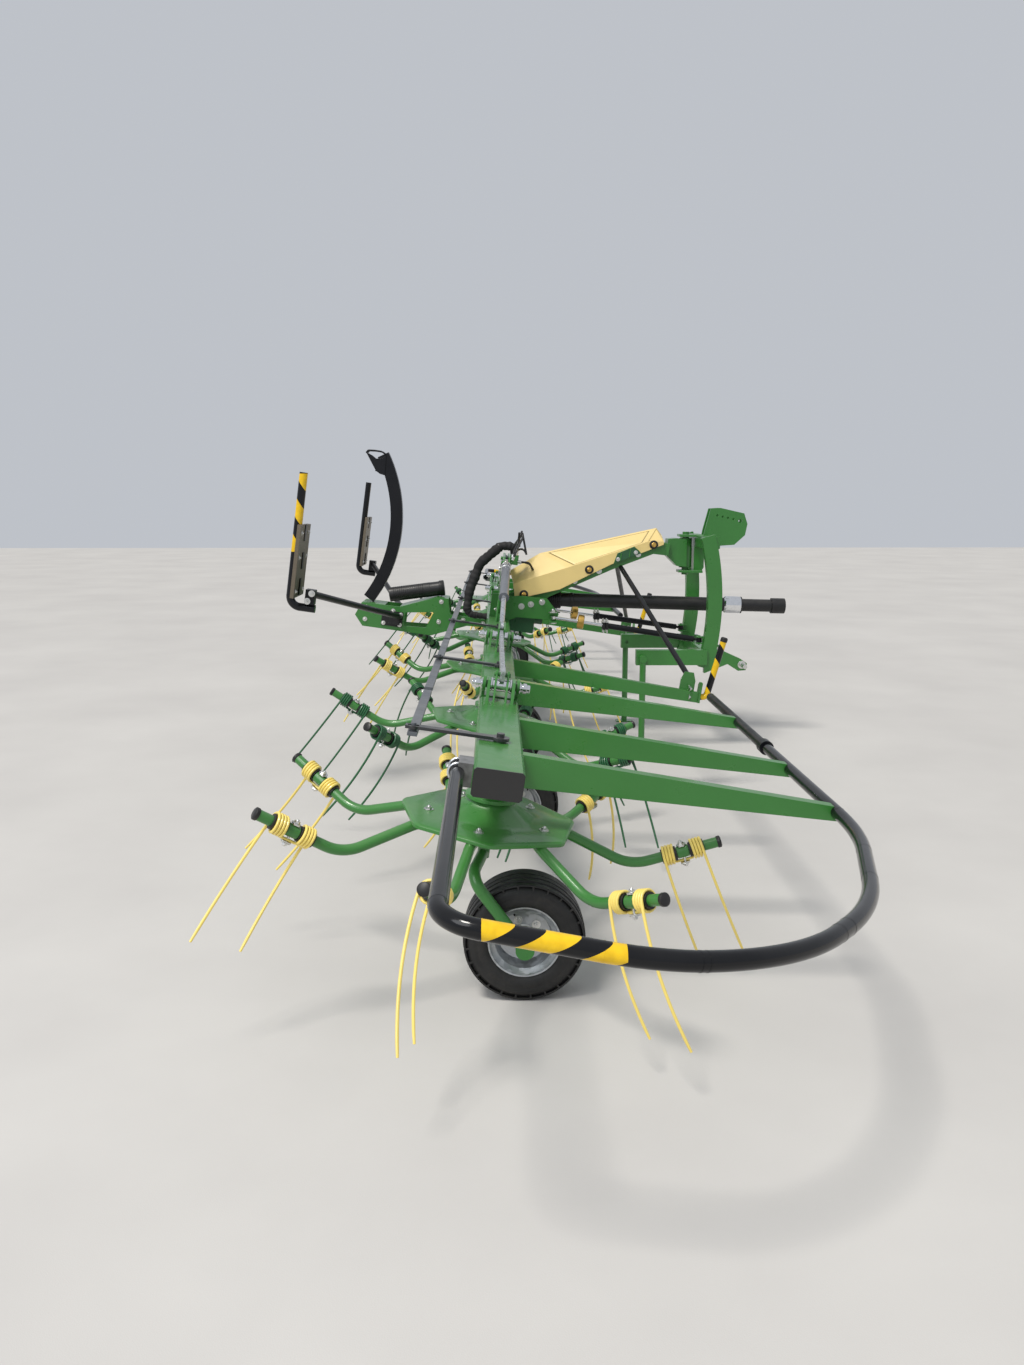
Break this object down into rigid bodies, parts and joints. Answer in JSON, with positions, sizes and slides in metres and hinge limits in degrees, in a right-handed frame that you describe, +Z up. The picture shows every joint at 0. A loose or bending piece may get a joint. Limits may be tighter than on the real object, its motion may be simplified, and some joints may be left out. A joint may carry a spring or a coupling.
{
  "type": "mounted rotary hay tedder",
  "caption": "Rear-mounted folding hay tedder: a hinged box beam carries tined rotors over steering wheels, with guard bows, a swivelling headstock and parking stands.",
  "frame": {"origin": "on the ground, under the middle of the machine's length and width", "axes": "+X forward, towards the carrier; +Y to the machine's left, along the beam; +Z up"},
  "size_m": [3.0969, 10.3694, 1.9175],
  "materials": {
    "green": "gloss paint",
    "dark_green": "gloss paint",
    "yellow": "gloss paint",
    "black_paint": "satin paint",
    "anthracite": "satin paint",
    "black_plastic": "matt",
    "black_rubber": "matt",
    "tyre": "ribbed tread",
    "zinc": "galvanised",
    "steel": "machined",
    "chrome": "polished",
    "panel": "satin"
  },
  "bodies": {
    "frame": {"centre_beam": "green", "drawbar": "green", "hood": "yellow", "tower": "green", "gearbox": "dark_green", "rear_bracket": "green", "document_tube": "black_plastic", "light_arms": "black_paint", "light_panels": "panel", "marker_tubes": "yellow", "drive_shaft": "black_plastic", "hose_bundle": "black_rubber"},
    "headstock_body": {"headstock": "green", "link_pins": "steel"},
    "wing_body_r": {"wing_beam_r": "green", "wing_guard_r": "black_paint", "fold_link_r": "zinc"},
    "wing_body_l": {"wing_beam_l": "green", "wing_guard_l": "black_paint", "fold_link_l": "zinc"},
    "tip_body_r": {"tip_beam_r": "green", "tip_guard_r": "black_paint"},
    "tip_body_l": {"tip_beam_l": "green", "tip_guard_l": "black_paint"},
    "stand_r": {"stand_r": "green"},
    "damper_tube_r": {"damper_tube_r": "black_paint"},
    "damper_rod_r": {"damper_rod_r": "steel"},
    "lift_barrel_r": {"lift_barrel_r": "black_paint"},
    "lift_rod_r": {"lift_rod_r": "chrome"},
    "tie_wing_r": {"tie_wing_r": "anthracite"},
    "tie_tip_r": {"tie_tip_r": "anthracite"},
    "stand_l": {"stand_l": "green"},
    "damper_tube_l": {"damper_tube_l": "black_paint"},
    "damper_rod_l": {"damper_rod_l": "steel"},
    "lift_barrel_l": {"lift_barrel_l": "black_paint"},
    "lift_rod_l": {"lift_rod_l": "chrome"},
    "tie_wing_l": {"tie_wing_l": "anthracite"},
    "tie_tip_l": {"tie_tip_l": "anthracite"},
    "tie_centre": {"tie_centre": "anthracite"},
    "rotor_1": {"rotor_1": "green"},
    "leg_1": {"leg_1": "green"},
    "wheel_1": {"wheel_1": "tyre"},
    "rotor_2": {"rotor_2": "green"},
    "leg_2": {"leg_2": "green"},
    "wheel_2": {"wheel_2": "tyre"},
    "rotor_3": {"rotor_3": "green"},
    "leg_3": {"leg_3": "green"},
    "wheel_3": {"wheel_3": "tyre"},
    "rotor_4": {"rotor_4": "green"},
    "leg_4": {"leg_4": "green"},
    "wheel_4": {"wheel_4": "tyre"},
    "rotor_5": {"rotor_5": "green"},
    "leg_5": {"leg_5": "green"},
    "wheel_5": {"wheel_5": "tyre"},
    "rotor_6": {"rotor_6": "green"},
    "leg_6": {"leg_6": "green"},
    "wheel_6": {"wheel_6": "tyre"}
  },
  "joints": [
    {"name": "headstock_swivel", "type": "hinge", "parent": "frame", "child": "headstock_body", "pos_m": [0.8624, 0, 1.25], "axis": [0, 0, 1], "range_deg": [-10, 10]},
    {"name": "stand_fold_r", "type": "hinge", "parent": "headstock_body", "child": "stand_r", "pos_m": [0.5274, -0.4515, 0.6], "axis": [0, -1, 0], "range_deg": [0, 90]},
    {"name": "damper_turn_r", "type": "hinge", "parent": "headstock_body", "child": "damper_tube_r", "pos_m": [0.9074, -0.34, 0.709], "axis": [0, 0, 1], "range_deg": [-9.8, 9.8]},
    {"name": "damper_slide_r", "type": "slide", "parent": "damper_tube_r", "child": "damper_rod_r", "axis": [0.9868, -0.0726, -0.1451], "range_m": [-0.062, 0.062]},
    {"name": "wing_fold_r", "type": "hinge", "parent": "frame", "child": "wing_body_r", "pos_m": [-0.39458, -1.5, 0.88488], "axis": [-0.9895, 0, 0.1444], "range_deg": [-3, 90]},
    {"name": "tip_fold_r", "type": "hinge", "parent": "wing_body_r", "child": "tip_body_r", "pos_m": [-0.39458, -3, 0.88488], "axis": [-0.9895, 0, 0.1444], "range_deg": [-4, 20]},
    {"name": "lift_turn_r", "type": "hinge", "parent": "frame", "child": "lift_barrel_r", "pos_m": [-0.3481, -0.28, 1.20351], "axis": [-0.9895, 0, 0.1444], "range_deg": [-0.5, 2]},
    {"name": "lift_slide_r", "type": "slide", "parent": "lift_barrel_r", "child": "lift_rod_r", "axis": [-0.0275, -0.9817, -0.1885], "range_m": [-0.192, 0.008]},
    {"name": "stand_fold_l", "type": "hinge", "parent": "headstock_body", "child": "stand_l", "pos_m": [0.5274, 0.4515, 0.6], "axis": [0, -1, 0], "range_deg": [0, 90]},
    {"name": "damper_turn_l", "type": "hinge", "parent": "headstock_body", "child": "damper_tube_l", "pos_m": [0.9074, 0.34, 0.709], "axis": [0, 0, 1], "range_deg": [-9.8, 9.8]},
    {"name": "damper_slide_l", "type": "slide", "parent": "damper_tube_l", "child": "damper_rod_l", "axis": [0.9868, 0.0726, -0.1451], "range_m": [-0.062, 0.062]},
    {"name": "wing_fold_l", "type": "hinge", "parent": "frame", "child": "wing_body_l", "pos_m": [-0.39458, 1.5, 0.88488], "axis": [0.9895, 0, -0.1444], "range_deg": [-3, 90]},
    {"name": "tip_fold_l", "type": "hinge", "parent": "wing_body_l", "child": "tip_body_l", "pos_m": [-0.39458, 3, 0.88488], "axis": [0.9895, 0, -0.1444], "range_deg": [-4, 20]},
    {"name": "lift_turn_l", "type": "hinge", "parent": "frame", "child": "lift_barrel_l", "pos_m": [-0.3481, 0.28, 1.20351], "axis": [0.9895, 0, -0.1444], "range_deg": [-0.5, 2]},
    {"name": "lift_slide_l", "type": "slide", "parent": "lift_barrel_l", "child": "lift_rod_l", "axis": [-0.0275, 0.9817, -0.1885], "range_m": [-0.192, 0.008]},
    {"name": "rotor_spin_1", "type": "hinge", "parent": "tip_body_r", "child": "rotor_1", "pos_m": [-0.4376, -3.75, 0.59], "axis": [0.1444, 0, 0.9895], "continuous": true},
    {"name": "leg_steer_1", "type": "hinge", "parent": "tip_body_r", "child": "leg_1", "pos_m": [-0.40873, -3.75, 0.78791], "axis": [0.1444, 0, 0.9895], "range_deg": [-12, 12]},
    {"name": "wheel_spin_1", "type": "hinge", "parent": "leg_1", "child": "wheel_1", "pos_m": [-0.3241, -3.79, 0.2], "axis": [0, 1, 0], "continuous": true},
    {"name": "rotor_spin_2", "type": "hinge", "parent": "wing_body_r", "child": "rotor_2", "pos_m": [-0.4376, -2.25, 0.59], "axis": [0.1444, 0, 0.9895], "continuous": true},
    {"name": "leg_steer_2", "type": "hinge", "parent": "wing_body_r", "child": "leg_2", "pos_m": [-0.40873, -2.25, 0.78791], "axis": [0.1444, 0, 0.9895], "range_deg": [-12, 12]},
    {"name": "wheel_spin_2", "type": "hinge", "parent": "leg_2", "child": "wheel_2", "pos_m": [-0.3241, -2.29, 0.2], "axis": [0, 1, 0], "continuous": true},
    {"name": "rotor_spin_3", "type": "hinge", "parent": "frame", "child": "rotor_3", "pos_m": [-0.4376, -0.75, 0.59], "axis": [0.1444, 0, 0.9895], "continuous": true},
    {"name": "leg_steer_3", "type": "hinge", "parent": "frame", "child": "leg_3", "pos_m": [-0.40873, -0.75, 0.78791], "axis": [0.1444, 0, 0.9895], "range_deg": [-12, 12]},
    {"name": "wheel_spin_3", "type": "hinge", "parent": "leg_3", "child": "wheel_3", "pos_m": [-0.3241, -0.79, 0.2], "axis": [0, 1, 0], "continuous": true},
    {"name": "rotor_spin_4", "type": "hinge", "parent": "frame", "child": "rotor_4", "pos_m": [-0.4376, 0.75, 0.59], "axis": [0.1444, 0, 0.9895], "continuous": true},
    {"name": "leg_steer_4", "type": "hinge", "parent": "frame", "child": "leg_4", "pos_m": [-0.40873, 0.75, 0.78791], "axis": [0.1444, 0, 0.9895], "range_deg": [-12, 12]},
    {"name": "wheel_spin_4", "type": "hinge", "parent": "leg_4", "child": "wheel_4", "pos_m": [-0.3241, 0.79, 0.2], "axis": [0, 1, 0], "continuous": true},
    {"name": "rotor_spin_5", "type": "hinge", "parent": "wing_body_l", "child": "rotor_5", "pos_m": [-0.4376, 2.25, 0.59], "axis": [0.1444, 0, 0.9895], "continuous": true},
    {"name": "leg_steer_5", "type": "hinge", "parent": "wing_body_l", "child": "leg_5", "pos_m": [-0.40873, 2.25, 0.78791], "axis": [0.1444, 0, 0.9895], "range_deg": [-12, 12]},
    {"name": "wheel_spin_5", "type": "hinge", "parent": "leg_5", "child": "wheel_5", "pos_m": [-0.3241, 2.29, 0.2], "axis": [0, 1, 0], "continuous": true},
    {"name": "rotor_spin_6", "type": "hinge", "parent": "tip_body_l", "child": "rotor_6", "pos_m": [-0.4376, 3.75, 0.59], "axis": [0.1444, 0, 0.9895], "continuous": true},
    {"name": "leg_steer_6", "type": "hinge", "parent": "tip_body_l", "child": "leg_6", "pos_m": [-0.40873, 3.75, 0.78791], "axis": [0.1444, 0, 0.9895], "range_deg": [-12, 12]},
    {"name": "wheel_spin_6", "type": "hinge", "parent": "leg_6", "child": "wheel_6", "pos_m": [-0.3241, 3.79, 0.2], "axis": [0, 1, 0], "continuous": true},
    {"name": "tie_centre_slide", "type": "slide", "parent": "frame", "child": "tie_centre", "axis": [0, 1, 0], "range_m": [-0.062, 0.062]},
    {"name": "tie_wing_r_slide", "type": "slide", "parent": "wing_body_r", "child": "tie_wing_r", "axis": [0, 1, 0], "range_m": [-0.062, 0.062]},
    {"name": "tie_wing_l_slide", "type": "slide", "parent": "wing_body_l", "child": "tie_wing_l", "axis": [0, 1, 0], "range_m": [-0.062, 0.062]},
    {"name": "tie_tip_r_slide", "type": "slide", "parent": "tip_body_r", "child": "tie_tip_r", "axis": [0, 1, 0], "range_m": [-0.062, 0.062]},
    {"name": "tie_tip_l_slide", "type": "slide", "parent": "tip_body_l", "child": "tie_tip_l", "axis": [0, 1, 0], "range_m": [-0.062, 0.062]}
  ],
  "couplings": [
    {"joint": "damper_turn_r", "follows": "headstock_swivel", "ratio": -0.9285},
    {"joint": "damper_slide_r", "follows": "headstock_swivel", "m_per_rad": -0.335},
    {"joint": "lift_turn_r", "follows": "wing_fold_r", "ratio": 0.012},
    {"joint": "lift_slide_r", "follows": "wing_fold_r", "m_per_rad": -0.1206},
    {"joint": "damper_turn_l", "follows": "headstock_swivel", "ratio": -0.9285},
    {"joint": "damper_slide_l", "follows": "headstock_swivel", "m_per_rad": 0.335},
    {"joint": "lift_turn_l", "follows": "wing_fold_l", "ratio": 0.012},
    {"joint": "lift_slide_l", "follows": "wing_fold_l", "m_per_rad": -0.1206},
    {"joint": "rotor_spin_2", "follows": "rotor_spin_1", "ratio": -1},
    {"joint": "leg_steer_2", "follows": "leg_steer_1", "ratio": 1},
    {"joint": "rotor_spin_3", "follows": "rotor_spin_1", "ratio": 1},
    {"joint": "leg_steer_3", "follows": "leg_steer_1", "ratio": 1},
    {"joint": "rotor_spin_4", "follows": "rotor_spin_1", "ratio": -1},
    {"joint": "leg_steer_4", "follows": "leg_steer_1", "ratio": 1},
    {"joint": "rotor_spin_5", "follows": "rotor_spin_1", "ratio": 1},
    {"joint": "leg_steer_5", "follows": "leg_steer_1", "ratio": 1},
    {"joint": "rotor_spin_6", "follows": "rotor_spin_1", "ratio": -1},
    {"joint": "leg_steer_6", "follows": "leg_steer_1", "ratio": 1},
    {"joint": "tie_centre_slide", "follows": "leg_steer_1", "m_per_rad": -0.283},
    {"joint": "tie_wing_r_slide", "follows": "leg_steer_1", "m_per_rad": -0.283},
    {"joint": "tie_wing_l_slide", "follows": "leg_steer_1", "m_per_rad": -0.283},
    {"joint": "tie_tip_r_slide", "follows": "leg_steer_1", "m_per_rad": -0.283},
    {"joint": "tie_tip_l_slide", "follows": "leg_steer_1", "m_per_rad": -0.283}
  ]
}
